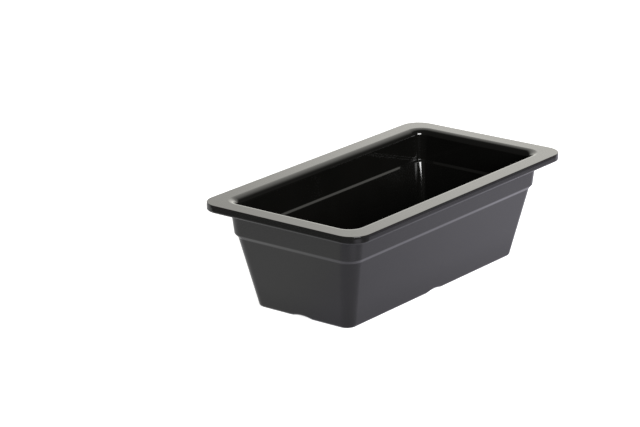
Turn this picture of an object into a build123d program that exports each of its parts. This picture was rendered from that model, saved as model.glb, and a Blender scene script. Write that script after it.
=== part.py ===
"""Third-size deli food pan, 100 mm deep: one compression moulding in black melamine.

The frame has its origin on the surface that the pan stands on, at the pan's centre.
+X runs along the long side, +Y along the short side and +Z up. Units are millimetres.

The wall is described by rings. A ring is a rounded rectangle at one height, given by its
inset, which is how far it lies inside the rim's outer edge on all four sides, and by its
corner radius.
"""

import os
from math import atan, cos

from build123d import *

# Overall size of a third-size gastronorm pan
RIM_LENGTH = 325.0
RIM_WIDTH = 176.0
HEIGHT = 100.0
WALL = 4.2

# Rim: a flat flange with a shallow lip turned down along its outer edge. The rim's side is
# upright below and leans in a little above.
RIM_CORNER_RADIUS = 19.0
RIM_TOP_INSET = 0.15
RIM_TOP_CORNER = 18.9
RIM_SIDE_HEIGHT = 4.9
LIP_DEPTH = 7.3
LIP_WIDTH = 4.5
FLANGE_THICKNESS = 4.4
RIM_TOP_EDGE_RADIUS = 0.6
LIP_OUTER_FOOT_RADIUS = 1.9
LIP_INNER_FOOT_RADIUS = 0.9
CHANNEL_RADIUS = 0.6
POURING_EDGE_RADIUS = 6.8

# Outside of the wall: an upright collar, a slanted step and a strongly tapered lower wall
COLLAR_DRAFT = 0.1045
COLLAR_TOP_INSET = 15.3
STEP_TOP_Z = 69.7
STEP_FOOT_Z = 66.2
LOWER_DRAFT = 0.2114
BASE_INSET = 34.9
COLLAR_TOP_CORNER = 15.5
STEP_TOP_CORNER = 14.2
STEP_FOOT_CORNER = 13.8
BASE_CORNER = 10.2
COLLAR_ROOT_RADIUS = 2.5
STEP_TOP_RADIUS = 2.0
STEP_FOOT_RADIUS = 2.0
BASE_EDGE_RADIUS = 3.6

# Inside of the wall: the collar grows thicker towards the mouth, and a slanted ledge backs
# the step
MOUTH_INSET = 21.4
MOUTH_CORNER = 10.6
LEDGE_BACK_Z = 70.35
LEDGE_BACK_CORNER = 8.6
LEDGE_FRONT_Z = 68.6
LEDGE_FRONT_CORNER = 7.2
LEDGE_BACK_RADIUS = 0.9
LEDGE_FRONT_RADIUS = 1.0
FLOOR_CORNER = 4.5
FLOOR_EDGE_RADIUS = 4.0

# Underside: a raised foot ring with a shallow arched notch in the middle of each side
FOOT_DEPTH = 1.8
FOOT_WIDTH = 6.0
FOOT_INNER_CORNER = 4.5
NOTCH_WIDTH = 22.0
NOTCH_HEIGHT = 1.7


def ring(inset, corner, z):
    """The rounded rectangle that lies inset inside the rim's outer edge, at height z."""
    outline = RectangleRounded(RIM_LENGTH - 2 * inset, RIM_WIDTH - 2 * inset, corner)
    return Plane.XY.offset(z) * outline


def frustum(lower, upper):
    """The straight-sided solid between two rings."""
    return loft([ring(*lower), ring(*upper)], ruled=True)


def collar_inset(z):
    """Inset of the collar's outer face at height z."""
    return COLLAR_TOP_INSET + (HEIGHT - z) * COLLAR_DRAFT


def lower_inset(z):
    """Inset of the lower wall's outer face at height z."""
    return BASE_INSET - z * LOWER_DRAFT


def through_wall(draft):
    """How far the inner face lies inside the outer one, measured level."""
    return WALL / cos(atan(draft))


def ring_edges(solid, z, low_inset=0.0, high_inset=RIM_WIDTH / 2):
    """The edges of a solid that lie level at height z, between two insets."""
    found = []
    for edge in solid.edges():
        box = edge.bounding_box()
        if abs(box.min.Z - z) > 1e-3 or abs(box.max.Z - z) > 1e-3:
            continue
        reach = max(
            max(abs(box.min.X), abs(box.max.X)) - RIM_LENGTH / 2,
            max(abs(box.min.Y), abs(box.max.Y)) - RIM_WIDTH / 2,
        )
        if low_inset - 0.01 <= -reach <= high_inset + 0.01:
            found.append(edge)
    return found


def outside():
    """The pan's outer form, solid right through."""
    top = (COLLAR_TOP_INSET, COLLAR_TOP_CORNER, HEIGHT)
    step_top = (collar_inset(STEP_TOP_Z), STEP_TOP_CORNER, STEP_TOP_Z)
    step_foot = (lower_inset(STEP_FOOT_Z), STEP_FOOT_CORNER, STEP_FOOT_Z)
    base = (BASE_INSET, BASE_CORNER, 0.0)
    body = frustum(step_top, top) + frustum(step_foot, step_top) + frustum(base, step_foot)
    body = fillet(ring_edges(body, STEP_TOP_Z), STEP_TOP_RADIUS)
    body = fillet(ring_edges(body, STEP_FOOT_Z), STEP_FOOT_RADIUS)
    return fillet(ring_edges(body, 0.0), BASE_EDGE_RADIUS)


def rim():
    """The flange with its turned-down lip, solid across the opening."""
    lip_foot_z = HEIGHT - LIP_DEPTH
    channel_z = HEIGHT - FLANGE_THICKNESS
    side_z = lip_foot_z + RIM_SIDE_HEIGHT
    foot = (0.0, RIM_CORNER_RADIUS, lip_foot_z)
    side = (0.0, RIM_CORNER_RADIUS, side_z)
    top = (RIM_TOP_INSET, RIM_TOP_CORNER, HEIGHT)
    slab = frustum(foot, side) + frustum(side, top)
    channel = ring(LIP_WIDTH, RIM_CORNER_RADIUS - LIP_WIDTH, lip_foot_z)
    slab -= extrude(channel, LIP_DEPTH - FLANGE_THICKNESS)
    slab = fillet(ring_edges(slab, channel_z, LIP_WIDTH, LIP_WIDTH), CHANNEL_RADIUS)
    slab = fillet(ring_edges(slab, lip_foot_z, LIP_WIDTH, LIP_WIDTH), LIP_INNER_FOOT_RADIUS)
    slab = fillet(ring_edges(slab, lip_foot_z, 0.0, 0.0), LIP_OUTER_FOOT_RADIUS)
    return fillet(ring_edges(slab, HEIGHT, RIM_TOP_INSET, RIM_TOP_INSET), RIM_TOP_EDGE_RADIUS)


def cavity():
    """The space inside the pan, as a solid to cut away."""
    upper = through_wall(COLLAR_DRAFT)
    lower = through_wall(LOWER_DRAFT)
    floor_z = FOOT_DEPTH + WALL
    mouth = (MOUTH_INSET, MOUTH_CORNER, HEIGHT)
    ledge_back = (collar_inset(LEDGE_BACK_Z) + upper, LEDGE_BACK_CORNER, LEDGE_BACK_Z)
    ledge_front = (lower_inset(LEDGE_FRONT_Z) + lower, LEDGE_FRONT_CORNER, LEDGE_FRONT_Z)
    floor = (lower_inset(floor_z) + lower, FLOOR_CORNER, floor_z)
    space = (
        frustum(ledge_back, mouth)
        + frustum(ledge_front, ledge_back)
        + frustum(floor, ledge_front)
    )
    space = fillet(ring_edges(space, LEDGE_BACK_Z), LEDGE_BACK_RADIUS)
    space = fillet(ring_edges(space, LEDGE_FRONT_Z), LEDGE_FRONT_RADIUS)
    return fillet(ring_edges(space, floor_z), FLOOR_EDGE_RADIUS)


def underside_recess():
    """The shallow recess that leaves the foot ring standing."""
    inset = BASE_INSET + FOOT_WIDTH
    return frustum((inset, FOOT_INNER_CORNER, 0.0), (inset + 0.4, FOOT_INNER_CORNER, FOOT_DEPTH))


def notches():
    """Four level cylinders that cut the arched notches through the foot ring."""
    half = NOTCH_WIDTH / 2
    radius = (half**2 + NOTCH_HEIGHT**2) / (2 * NOTCH_HEIGHT)
    length = BASE_INSET + FOOT_WIDTH
    across_x = Rot(0, 90, 0) * Cylinder(radius, length)
    across_y = Rot(90, 0, 0) * Cylinder(radius, length)
    z = NOTCH_HEIGHT - radius
    out = RIM_LENGTH / 2 - BASE_INSET
    side = RIM_WIDTH / 2 - BASE_INSET
    reach = length / 2 - FOOT_WIDTH - 1.0
    cutters = []
    for sign in (-1, 1):
        cutters.append(Pos(sign * (out + reach), 0, z) * across_x)
        cutters.append(Pos(0, sign * (side + reach), z) * across_y)
    return cutters


def food_pan():
    """The whole moulding."""
    body = outside() + rim()
    collar_root = ring_edges(body, HEIGHT - FLANGE_THICKNESS, COLLAR_TOP_INSET, 20.0)
    body = fillet(collar_root, COLLAR_ROOT_RADIUS)
    body -= cavity()
    body = fillet(ring_edges(body, HEIGHT, COLLAR_TOP_INSET), POURING_EDGE_RADIUS)
    body -= underside_recess()
    for cutter in notches():
        body -= cutter
    return body


os.makedirs("parts", exist_ok=True)
export_step(food_pan(), "parts/food_pan.step")
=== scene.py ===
"""Looks of a third-size deli food pan: a black melamine moulding, 100 mm deep, in a plain studio.

The frame is the CAD part's: origin under the pan's centre on the surface that it stands on, +X along
the long side, +Y along the short side, +Z up. Units are metres.

The pan is drawn as one quad mesh that stands for the CAD node. Its wall is a chain of stations, read
from the recess under the base, out over the foot ring, up the outside, over the rim and down the
inside to the floor. A station is a rounded rectangle: its inset is how far it lies inside the rim's
outer edge on all four sides.
"""

from math import acos, atan, ceil, cos, hypot, pi, radians, sin, sqrt, tan

import bpy
from mathutils import Matrix, Vector


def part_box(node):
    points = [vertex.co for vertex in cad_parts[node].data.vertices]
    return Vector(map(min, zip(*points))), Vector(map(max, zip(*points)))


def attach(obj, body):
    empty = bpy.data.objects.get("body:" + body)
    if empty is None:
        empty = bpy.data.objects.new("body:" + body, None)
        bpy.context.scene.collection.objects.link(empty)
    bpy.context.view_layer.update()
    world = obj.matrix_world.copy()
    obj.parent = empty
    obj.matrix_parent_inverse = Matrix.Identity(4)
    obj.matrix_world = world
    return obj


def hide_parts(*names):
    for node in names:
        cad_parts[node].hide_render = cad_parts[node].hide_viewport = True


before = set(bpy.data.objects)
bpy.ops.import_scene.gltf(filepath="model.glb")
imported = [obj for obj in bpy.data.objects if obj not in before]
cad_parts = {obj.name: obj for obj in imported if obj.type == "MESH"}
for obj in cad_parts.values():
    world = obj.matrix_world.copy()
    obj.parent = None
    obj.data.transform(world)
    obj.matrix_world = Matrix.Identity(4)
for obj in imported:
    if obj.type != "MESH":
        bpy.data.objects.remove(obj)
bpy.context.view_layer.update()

MM = 0.001

# Overall size, from the frame
_, PAN_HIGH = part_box("food_pan")
HALF_LENGTH = PAN_HIGH.x
HALF_WIDTH = PAN_HIGH.y
HEIGHT = PAN_HIGH.z

# The sizes from here to the notches are the CAD part's. A corner is the radius of a rounded
# rectangle in plan, and an edge or foot radius rounds the section.
WALL = 4.2 * MM

# Rim
RIM_CORNER_RADIUS = 19.0 * MM
RIM_TOP_INSET = 0.15 * MM
RIM_TOP_CORNER = 18.9 * MM
RIM_SIDE_HEIGHT = 4.9 * MM
LIP_DEPTH = 7.3 * MM
LIP_WIDTH = 4.5 * MM
FLANGE_THICKNESS = 4.4 * MM
RIM_TOP_EDGE_RADIUS = 0.6 * MM
LIP_OUTER_FOOT_RADIUS = 1.9 * MM
LIP_INNER_FOOT_RADIUS = 0.9 * MM
CHANNEL_RADIUS = 0.6 * MM
POURING_EDGE_RADIUS = 6.8 * MM

# Outside of the wall
COLLAR_DRAFT = 0.1045
COLLAR_TOP_INSET = 15.3 * MM
STEP_TOP_Z = 69.7 * MM
STEP_FOOT_Z = 66.2 * MM
LOWER_DRAFT = 0.2114
BASE_INSET = 34.9 * MM
COLLAR_TOP_CORNER = 15.5 * MM
STEP_TOP_CORNER = 14.2 * MM
STEP_FOOT_CORNER = 13.8 * MM
BASE_CORNER = 10.2 * MM
COLLAR_ROOT_RADIUS = 2.5 * MM
STEP_TOP_RADIUS = 2.0 * MM
STEP_FOOT_RADIUS = 2.0 * MM
BASE_EDGE_RADIUS = 3.6 * MM

# Inside of the wall
MOUTH_INSET = 21.4 * MM
MOUTH_CORNER = 10.6 * MM
LEDGE_BACK_Z = 70.35 * MM
LEDGE_BACK_CORNER = 8.6 * MM
LEDGE_FRONT_Z = 68.6 * MM
LEDGE_FRONT_CORNER = 7.2 * MM
LEDGE_BACK_RADIUS = 0.9 * MM
LEDGE_FRONT_RADIUS = 1.0 * MM
FLOOR_CORNER = 4.5 * MM
FLOOR_EDGE_RADIUS = 4.0 * MM

# Foot ring and its notches
FOOT_DEPTH = 1.8 * MM
FOOT_WIDTH = 6.0 * MM
FOOT_INNER_CORNER = 4.5 * MM
RECESS_TAPER = 0.4 * MM
NOTCH_WIDTH = 22.0 * MM
NOTCH_HEIGHT = 1.7 * MM

# Roundings that only the visual model has
FOOT_INNER_RADIUS = 0.7 * MM
RECESS_RADIUS = 0.4 * MM
RIM_SIDE_RADIUS = 8.0 * MM
NOTCH_END_SOFTNESS = 0.12 * MM

# Mesh density, and how far the rings above and inside a notch follow it
ARC_STEP = radians(11)
CORNER_STEPS = 20
SUPPORT = 0.35 * MM
RING_PITCH = 11.0 * MM
SIDE_STEPS = 10
NOTCH_ZONE = 15.0 * MM
NOTCH_STEPS = 20
NOTCH_FADE = 12.0 * MM
TOLERANCE = 0.01 * MM


def new_object(name, data):
    """An object with that data, in the scene."""
    made = bpy.data.objects.new(name, data)
    bpy.context.scene.collection.objects.link(made)
    return made


# ---------------------------------------------------------------- the pan's mesh


def collar_inset(z):
    """Inset of the collar's outer face at height z."""
    return COLLAR_TOP_INSET + (HEIGHT - z) * COLLAR_DRAFT


def lower_inset(z):
    """Inset of the lower wall's outer face at height z."""
    return BASE_INSET - z * LOWER_DRAFT


def through_wall(draft):
    """How far the inner face lies inside the outer one, measured level."""
    return WALL / cos(atan(draft))


def outline():
    """The wall's section, as (inset, z, corner, radius). A radius of 0 leaves the section straight."""
    flange_z = HEIGHT - FLANGE_THICKNESS
    lip_z = HEIGHT - LIP_DEPTH
    lip_inner_corner = RIM_CORNER_RADIUS - LIP_WIDTH
    floor_z = FOOT_DEPTH + WALL
    floor_inset = lower_inset(floor_z) + through_wall(LOWER_DRAFT)
    ledge_back_inset = collar_inset(LEDGE_BACK_Z) + through_wall(COLLAR_DRAFT)
    ledge_front_inset = lower_inset(LEDGE_FRONT_Z) + through_wall(LOWER_DRAFT)
    foot_inner = BASE_INSET + FOOT_WIDTH
    return [
        # under the base, and the foot ring
        (foot_inner + 3.0 * MM, FOOT_DEPTH, 3.0 * MM, 0.0),
        (foot_inner + RECESS_TAPER, FOOT_DEPTH, FOOT_INNER_CORNER, RECESS_RADIUS),
        (foot_inner, 0.0, FOOT_INNER_CORNER, FOOT_INNER_RADIUS),
        (BASE_INSET, 0.0, BASE_CORNER, BASE_EDGE_RADIUS),
        # outside of the wall
        (lower_inset(STEP_FOOT_Z), STEP_FOOT_Z, STEP_FOOT_CORNER, STEP_FOOT_RADIUS),
        (collar_inset(STEP_TOP_Z), STEP_TOP_Z, STEP_TOP_CORNER, STEP_TOP_RADIUS),
        (collar_inset(flange_z), flange_z, COLLAR_TOP_CORNER, COLLAR_ROOT_RADIUS),
        # under the flange, with a plain station on the way, and the lip
        (13.0 * MM, flange_z, 18.5 * MM, 0.0),
        (LIP_WIDTH, flange_z, lip_inner_corner, CHANNEL_RADIUS),
        (LIP_WIDTH, lip_z, lip_inner_corner, LIP_INNER_FOOT_RADIUS),
        (0.0, lip_z, RIM_CORNER_RADIUS, LIP_OUTER_FOOT_RADIUS),
        # side of the rim, which leans in a little towards the top
        (0.0, lip_z + RIM_SIDE_HEIGHT, RIM_CORNER_RADIUS, RIM_SIDE_RADIUS),
        # top of the rim, with two plain stations across it
        (RIM_TOP_INSET, HEIGHT, RIM_TOP_CORNER, RIM_TOP_EDGE_RADIUS),
        (2.0 * MM, HEIGHT, 17.0 * MM, 0.0),
        (14.5 * MM, HEIGHT, 16.0 * MM, 0.0),
        # inside of the wall, and the floor
        (MOUTH_INSET, HEIGHT, MOUTH_CORNER, POURING_EDGE_RADIUS),
        (ledge_back_inset, LEDGE_BACK_Z, LEDGE_BACK_CORNER, LEDGE_BACK_RADIUS),
        (ledge_front_inset, LEDGE_FRONT_Z, LEDGE_FRONT_CORNER, LEDGE_FRONT_RADIUS),
        (floor_inset, floor_z, FLOOR_CORNER, FLOOR_EDGE_RADIUS),
        (floor_inset + 3.8 * MM, floor_z, 0.8 * MM, 0.0),
    ]


def between(a, b, share):
    """The station that lies a share of the way from a to b."""
    return tuple(p + (q - p) * share for p, q in zip(a, b))


def rounding(before, corner, after):
    """The stations along the arc that rounds one corner of the section."""
    radius = corner[3]
    arm_in = Vector((before[0] - corner[0], before[1] - corner[1]))
    arm_out = Vector((after[0] - corner[0], after[1] - corner[1]))
    opening = acos(arm_in.normalized().dot(arm_out.normalized()))
    reach = radius / tan(opening / 2)
    start = between(corner[:3], before[:3], reach / arm_in.length)
    end = between(corner[:3], after[:3], reach / arm_out.length)
    bisector = (arm_in.normalized() + arm_out.normalized()).normalized()
    centre = Vector(corner[:2]) + bisector * (radius / sin(opening / 2))
    turn = pi - opening
    steps = max(3, ceil(turn / ARC_STEP))
    first = Vector(start[:2]) - centre
    last = Vector(end[:2]) - centre
    stations = []
    for step in range(steps + 1):
        share = step / steps
        swing = (first * sin(turn * (1 - share)) + last * sin(turn * share)) / sin(turn)
        point = centre + swing
        stations.append((point.x, point.y, start[2] + (end[2] - start[2]) * share))
    return stations


def straight(start, end):
    """The stations between two others: one close to each end, and the rest evenly spaced."""
    run = hypot(end[0] - start[0], end[1] - start[1])
    if run < 3 * SUPPORT:
        return []
    steps = max(1, ceil((run - 2 * SUPPORT) / RING_PITCH))
    near = SUPPORT / run
    return [between(start, end, near + (1 - 2 * near) * step / steps) for step in range(steps + 1)]


def section_stations():
    """Every station of the wall, in order, as (inset, z, corner)."""
    corners = outline()
    runs = [[corners[0][:3]]]
    for before, corner, after in zip(corners, corners[1:], corners[2:]):
        runs.append(rounding(before, corner, after) if corner[3] else [corner[:3]])
    runs.append([corners[-1][:3]])
    stations = list(runs[0])
    for run in runs[1:]:
        stations += straight(stations[-1], run[0])
        stations += run
    return stations


def side_places(half):
    """Places along one straight side, from -half to half, closest together about the notch."""
    low = [-half + (half - NOTCH_ZONE) * step / SIDE_STEPS for step in range(SIDE_STEPS)]
    middle = [NOTCH_ZONE * (2 * step / NOTCH_STEPS - 1) for step in range(NOTCH_STEPS + 1)]
    return low + middle + [-place for place in reversed(low)]


def notch_rise(place):
    """How high the notch's arch stands above the ground, at a distance from the side's middle."""
    half = NOTCH_WIDTH / 2
    radius = (half**2 + NOTCH_HEIGHT**2) / (2 * NOTCH_HEIGHT)
    if abs(place) >= radius:
        return 0.0
    arch = sqrt(radius**2 - place**2) - (radius - NOTCH_HEIGHT)
    return (arch + sqrt(arch**2 + NOTCH_END_SOFTNESS**2)) / 2


def lifted(station, place):
    """A station's inset and height where the notch pushes the foot ring up."""
    inset, z, _ = station
    on_outside = inset < BASE_INSET + FOOT_WIDTH / 2
    fade_z = NOTCH_FADE if on_outside else FOOT_DEPTH
    if z >= fade_z or inset < lower_inset(fade_z) - TOLERANCE:
        return inset, z
    rise = notch_rise(place) * (1 - z / fade_z)
    draft = LOWER_DRAFT if on_outside else 0.0
    return inset - rise * draft, z + rise


def ring_points(station):
    """The points of one ring, counter-clockwise from the corner at -X -Y."""
    inset, z, corner = station
    long_half = HALF_LENGTH - inset - corner
    short_half = HALF_WIDTH - inset - corner
    points = []
    for quarter in range(4):
        # each quarter is a corner's arc and then the side that follows it
        along_x = quarter % 2 == 0
        ahead = Vector(((1, 0), (0, 1), (-1, 0), (0, -1))[quarter])
        outward = Vector((ahead.y, -ahead.x))
        side_half = long_half if along_x else short_half
        side_reach = (short_half if along_x else long_half) + corner
        arc_centre = -ahead * side_half + outward * (side_reach - corner)
        for step in range(CORNER_STEPS):
            angle = pi / 2 * step / CORNER_STEPS
            swing = -ahead * cos(angle) + outward * sin(angle)
            flat = arc_centre + swing * corner
            points.append(Vector((flat.x, flat.y, z)))
        for place in side_places(side_half):
            side_inset, side_z = lifted(station, place)
            flat = ahead * place + outward * (side_reach + inset - side_inset)
            points.append(Vector((flat.x, flat.y, side_z)))
        # the next corner's arc starts at the same point as this side ends
        points.pop()
    return points


def closing_grid(ring, vertices, faces, upward):
    """Closes a ring with a grid of quads that starts half way round a corner. ring holds indices."""
    span = 2 * SIDE_STEPS + NOTCH_STEPS + CORNER_STEPS
    half = CORNER_STEPS // 2
    loop = [ring[(half + step) % len(ring)] for step in range(len(ring))]
    grid = [[None] * (span + 1) for _ in range(span + 1)]
    for step in range(span + 1):
        grid[0][step] = loop[step]
        grid[step][span] = loop[span + step]
        grid[span][span - step] = loop[2 * span + step]
        grid[span - step][0] = loop[(3 * span + step) % len(loop)]
    place = [[None if index is None else vertices[index] for index in row] for row in grid]
    for row in range(1, span):
        v = row / span
        for column in range(1, span):
            u = column / span
            sides = place[row][0] * (1 - u) + place[row][span] * u
            ends = place[0][column] * (1 - v) + place[span][column] * v
            low = place[0][0] * (1 - u) + place[0][span] * u
            high = place[span][0] * (1 - u) + place[span][span] * u
            vertices.append(sides + ends - low * (1 - v) - high * v)
            grid[row][column] = len(vertices) - 1
    for row in range(span):
        for column in range(span):
            quad = [
                grid[row][column],
                grid[row][column + 1],
                grid[row + 1][column + 1],
                grid[row + 1][column],
            ]
            faces.append(quad if upward else quad[::-1])


def make_pan():
    """The pan's mesh, all quads and closed."""
    vertices = []
    faces = []
    rings = []
    for station in section_stations():
        points = ring_points(station)
        rings.append(list(range(len(vertices), len(vertices) + len(points))))
        vertices += points
    for lower, upper in zip(rings, rings[1:]):
        for step, index in enumerate(lower):
            after = (step + 1) % len(lower)
            faces.append([index, lower[after], upper[after], upper[step]])
    closing_grid(rings[0], vertices, faces, upward=False)
    closing_grid(rings[-1], vertices, faces, upward=True)
    mesh = bpy.data.meshes.new("food_pan_shell")
    mesh.from_pydata(vertices, [], faces)
    mesh.validate()
    for polygon in mesh.polygons:
        polygon.use_smooth = True
    pan = new_object("food_pan_shell", mesh)
    weighted = pan.modifiers.new("even_shading", "WEIGHTED_NORMAL")
    weighted.mode = "FACE_AREA"
    weighted.weight = 100
    return pan


# ---------------------------------------------------------------- shader nodes


def connect(tree, value, socket):
    """Gives a socket its value: another node's output, or a plain number or colour."""
    if isinstance(value, (int, float, tuple)):
        socket.default_value = value
    else:
        tree.links.new(value, socket)


def maths(tree, operation, *values):
    """The output of a math node on one or two values."""
    node = tree.nodes.new("ShaderNodeMath")
    node.operation = operation
    for socket, value in zip(node.inputs, values):
        connect(tree, value, socket)
    return node.outputs["Value"]


def ramp(tree, value, start, end, low, high, smooth=True):
    """low where the value is up to start, high from end on, and in between them on the way."""
    node = tree.nodes.new("ShaderNodeMapRange")
    node.interpolation_type = "SMOOTHSTEP" if smooth else "LINEAR"
    node.inputs["From Min"].default_value = start
    node.inputs["From Max"].default_value = end
    node.inputs["To Min"].default_value = low
    node.inputs["To Max"].default_value = high
    tree.links.new(value, node.inputs["Value"])
    return node.outputs["Result"]


def blend(tree, share, one, other):
    """The colour that lies a share of the way from one to other."""
    node = tree.nodes.new("ShaderNodeMix")
    node.data_type = "RGBA"
    # a Mix node has its share at input 0, its two colours at 6 and 7 and its result at output 2
    connect(tree, share, node.inputs[0])
    connect(tree, one, node.inputs[6])
    connect(tree, other, node.inputs[7])
    return node.outputs[2]


# ---------------------------------------------------------------- material


def melamine():
    """Black melamine: a deep glossy moulding with slight waviness, a fine skin and faint wipe marks."""
    material = bpy.data.materials.new("black_melamine")
    material.use_nodes = True
    tree = material.node_tree
    nodes = tree.nodes
    links = tree.links
    nodes.clear()
    output = nodes.new("ShaderNodeOutputMaterial")
    shader = nodes.new("ShaderNodeBsdfPrincipled")
    shader.inputs["IOR"].default_value = 1.52
    shader.inputs["Specular IOR Level"].default_value = 0.5
    links.new(shader.outputs["BSDF"], output.inputs["Surface"])
    place = nodes.new("ShaderNodeTexCoord")

    def noise(scale, detail, stretch=(1, 1, 1), roughness=0.5):
        """A noise over the object. A scale of 1 gives features about a metre across."""
        mapping = nodes.new("ShaderNodeMapping")
        mapping.inputs["Scale"].default_value = stretch
        links.new(place.outputs["Object"], mapping.inputs["Vector"])
        texture = nodes.new("ShaderNodeTexNoise")
        texture.inputs["Scale"].default_value = scale
        texture.inputs["Detail"].default_value = detail
        texture.inputs["Roughness"].default_value = roughness
        links.new(mapping.outputs["Vector"], texture.inputs["Vector"])
        return texture.outputs["Fac"]

    def spread(value, start, end, low, high):
        """A straight ramp."""
        return ramp(tree, value, start, end, low, high, smooth=False)

    def relief(height, distance):
        """A bump node, with its heights scaled to a distance."""
        node = nodes.new("ShaderNodeBump")
        node.inputs["Strength"].default_value = 1.0
        node.inputs["Distance"].default_value = distance
        links.new(height, node.inputs["Height"])
        return node

    # colour: pigment that is a little cloudy, with pale specks of filler
    dark_pigment = (0.0022, 0.0022, 0.0019, 1)
    pale_pigment = (0.0037, 0.0036, 0.0032, 1)
    filler = (0.012, 0.0115, 0.011, 1)
    cloud = blend(tree, noise(38, 3), dark_pigment, pale_pigment)
    specks = spread(noise(2600, 1), 0.70, 0.82, 0.0, 0.35)
    links.new(blend(tree, specks, cloud, filler), shader.inputs["Base Color"])

    # gloss: polished skin, long wipe marks and small dull patches
    patches = spread(noise(26, 4), 0.35, 0.70, 0.075, 0.105)
    wipes = spread(noise(55, 5, stretch=(0.12, 1.6, 1.0), roughness=0.65), 0.56, 0.72, 0.0, 0.03)
    fine = spread(noise(900, 2), 0.3, 0.7, -0.008, 0.010)
    roughness = maths(tree, "ADD", maths(tree, "ADD", patches, wipes), fine)
    links.new(roughness, shader.inputs["Roughness"])

    # relief: long shallow waves of a thick moulding, and a fine skin
    waves = relief(noise(16, 1), 0.06 * MM)
    skin = relief(noise(1500, 2), 0.0016 * MM)
    links.new(waves.outputs["Normal"], skin.inputs["Normal"])
    links.new(skin.outputs["Normal"], shader.inputs["Normal"])
    return material


# ---------------------------------------------------------------- studio


def heading(azimuth, elevation):
    """The unit vector with that azimuth from +X and that elevation, in degrees."""
    a = radians(azimuth)
    e = radians(elevation)
    return Vector((cos(a) * cos(e), sin(a) * cos(e), sin(e)))


def level_plane(name, half, z, material):
    """A level stage plane that faces up, centred under the pan."""
    mesh = bpy.data.meshes.new(name)
    corners = [(-half, -half, 0), (half, -half, 0), (half, half, 0), (-half, half, 0)]
    mesh.from_pydata(corners, [], [(0, 1, 2, 3)])
    card = new_object(name, mesh)
    card.data.materials.append(material)
    card.location.z = z
    return card


def make_floor():
    """The pale floor that the camera sees. The gloss doesn't mirror it."""
    white = bpy.data.materials.new("pale_floor")
    white.use_nodes = True
    shader = white.node_tree.nodes["Principled BSDF"]
    shader.inputs["Base Color"].default_value = (0.86, 0.86, 0.86, 1)
    shader.inputs["Roughness"].default_value = 1.0
    shader.inputs["Specular IOR Level"].default_value = 0.0
    shader.inputs["Emission Color"].default_value = (1, 1, 1, 1)
    shader.inputs["Emission Strength"].default_value = 0.82
    floor = level_plane("floor", 6, -0.1 * MM, white)
    floor.visible_glossy = False


def make_lit_sheet():
    """The lit sheet under the pan, which only the pan's gloss sees."""
    sheet = bpy.data.materials.new("lit_sheet")
    sheet.use_nodes = True
    tree = sheet.node_tree
    nodes = tree.nodes
    links = tree.links
    nodes.clear()
    output = nodes.new("ShaderNodeOutputMaterial")
    glow = nodes.new("ShaderNodeEmission")
    place = nodes.new("ShaderNodeTexCoord")
    axes = nodes.new("ShaderNodeSeparateXYZ")
    links.new(place.outputs["Object"], axes.inputs["Vector"])

    def rise(axis, start, end, low, high):
        """A smooth ramp along one axis."""
        return ramp(tree, axes.outputs[axis], start, end, low, high)

    def past(axis, edge):
        """How far a place lies beyond an edge on either side of the pan."""
        return maths(tree, "SUBTRACT", maths(tree, "ABSOLUTE", axes.outputs[axis]), edge)

    # the sheet fades out towards -X and falls away towards -Y, and grows brighter the other ways
    level = maths(
        tree, "MULTIPLY", rise("X", -0.37, -0.29, 0.0, 1.0), rise("Y", -0.310, -0.212, 0.36, 1.0)
    )
    level = maths(tree, "MULTIPLY", level, rise("X", -0.13, 0.25, 0.79, 1.136))
    level = maths(tree, "MULTIPLY", level, rise("Y", -0.03, 0.07, 0.88, 1.0))

    # the pan shades it a little round the foot ring
    foot_shade = 0.88
    shade_reach = 30 * MM
    from_foot = maths(
        tree, "MAXIMUM", past("X", HALF_LENGTH - BASE_INSET), past("Y", HALF_WIDTH - BASE_INSET)
    )
    level = maths(tree, "MULTIPLY", level, ramp(tree, from_foot, 0.0, shade_reach, foot_shade, 1.0))

    # beyond that the ground keeps a dim light of its own
    dim_level = 0.20
    level = maths(tree, "MAXIMUM", level, dim_level)

    # the key light's own gleam on the floor, drawn out away from the pan
    oval = nodes.new("ShaderNodeMapping")
    oval.vector_type = "TEXTURE"
    oval.inputs["Location"].default_value = (-0.258, -0.345, 0)
    oval.inputs["Rotation"].default_value = (0, 0, radians(249))
    oval.inputs["Scale"].default_value = (0.26, 0.15, 1)
    links.new(place.outputs["Object"], oval.inputs["Vector"])
    fade = nodes.new("ShaderNodeTexGradient")
    fade.gradient_type = "SPHERICAL"
    links.new(oval.outputs["Vector"], fade.inputs["Vector"])
    gleam = ramp(tree, fade.outputs["Fac"], 0.0, 0.8, 0.0, 0.55)

    # a faint violet on the -Y side, and nearly neutral on the +Y side
    violet = (0.99, 0.965, 1.085, 1)
    neutral = (0.985, 0.985, 0.99, 1)
    tint = blend(tree, rise("Y", -0.05, 0.04, 0.0, 1.0), violet, neutral)
    links.new(tint, glow.inputs["Color"])
    links.new(maths(tree, "ADD", level, gleam), glow.inputs["Strength"])
    links.new(glow.outputs["Emission"], output.inputs["Surface"])

    card = level_plane("lit_sheet", 2, -0.2 * MM, sheet)
    card.visible_camera = False
    card.visible_diffuse = False
    card.visible_shadow = False
    card.visible_transmission = False


def make_lamp(name, azimuth, elevation, distance, width, height, watts):
    """A soft box that looks at the pan."""
    data = bpy.data.lights.new(name, "AREA")
    data.shape = "RECTANGLE"
    data.size = width
    data.size_y = height
    data.energy = watts
    lamp = new_object(name, data)
    toward = heading(azimuth, elevation)
    lamp.matrix_world = (
        Matrix.Translation(toward * distance + Vector((0, 0, HEIGHT / 2)))
        @ toward.to_track_quat("Z", "Y").to_matrix().to_4x4()
    )
    lamp.visible_camera = False


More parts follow.
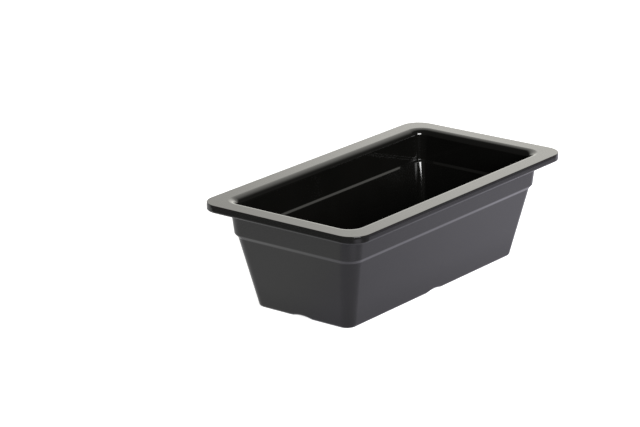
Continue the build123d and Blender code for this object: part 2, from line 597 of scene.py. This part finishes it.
def make_world():
    """White behind everything for the camera. The rest sees a dark room with a lit sweep."""
    world = bpy.data.worlds.new("studio")
    bpy.context.scene.world = world
    world.use_nodes = True
    tree = world.node_tree
    nodes = tree.nodes
    links = tree.links
    nodes.clear()
    output = nodes.new("ShaderNodeOutputWorld")
    place = nodes.new("ShaderNodeTexCoord")

    def glow(azimuth, elevation, outer, inner, strength):
        """A round glow about one heading: full inside the inner angle, nothing beyond the outer."""
        toward = nodes.new("ShaderNodeVectorMath")
        toward.operation = "DOT_PRODUCT"
        links.new(place.outputs["Generated"], toward.inputs[0])
        toward.inputs[1].default_value = heading(azimuth, elevation)
        near = cos(radians(inner))
        far = cos(radians(outer))
        return ramp(tree, toward.outputs["Value"], far, near, 0.0, strength)

    # the lit sweep beyond the pan is a wide glow with a brighter middle, over the room's own level
    room_level = 0.08
    wide = glow(azimuth=33, elevation=22, outer=61, inner=28, strength=1.17)
    middle = glow(azimuth=24, elevation=10, outer=19.5, inner=11.5, strength=0.72)
    sweep = maths(tree, "ADD", wide, middle)
    room = nodes.new("ShaderNodeBackground")
    room.inputs["Color"].default_value = (1.0, 0.985, 0.92, 1)
    links.new(maths(tree, "ADD", sweep, room_level), room.inputs["Strength"])

    white = nodes.new("ShaderNodeBackground")
    white.inputs["Strength"].default_value = 1.05
    white.inputs["Color"].default_value = (1, 1, 1, 1)
    rays = nodes.new("ShaderNodeLightPath")
    pick = nodes.new("ShaderNodeMixShader")
    links.new(rays.outputs["Is Camera Ray"], pick.inputs["Fac"])
    links.new(room.outputs["Background"], pick.inputs[1])
    links.new(white.outputs["Background"], pick.inputs[2])
    links.new(pick.outputs["Shader"], output.inputs["Surface"])


# ---------------------------------------------------------------- camera

# angles in degrees, lengths in metres, and the lens in millimetres
VIEW_AZIMUTH = 38.24
VIEW_ELEVATION = -18.09
VIEW_ROLL = -0.61
VIEW_DISTANCE = 2.3484
AIM = Vector((-0.0349, 0.0511, 0.0630))
LENS = 144.23


def make_camera():
    """A long lens that looks down on the pan from beyond its near corner."""
    data = bpy.data.cameras.new("camera")
    data.sensor_width = 36
    data.lens = LENS
    data.clip_start = 0.05
    data.clip_end = 50
    camera = new_object("camera", data)
    look = heading(VIEW_AZIMUTH, VIEW_ELEVATION)
    turn = (-look).to_track_quat("Z", "Y").to_matrix().to_4x4()
    roll = Matrix.Rotation(radians(VIEW_ROLL), 4, "Z")
    camera.matrix_world = Matrix.Translation(AIM - look * VIEW_DISTANCE) @ turn @ roll
    bpy.context.scene.camera = camera


# ---------------------------------------------------------------- the scene

bpy.context.scene.view_settings.view_transform = "Standard"

shell = make_pan()
shell.data.materials.append(melamine())
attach(shell, "root")
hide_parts("food_pan")

make_floor()
make_lit_sheet()
make_lamp("key_box", azimuth=243, elevation=25.5, distance=2.6, width=1.45, height=1.25, watts=117)
make_world()
make_camera()
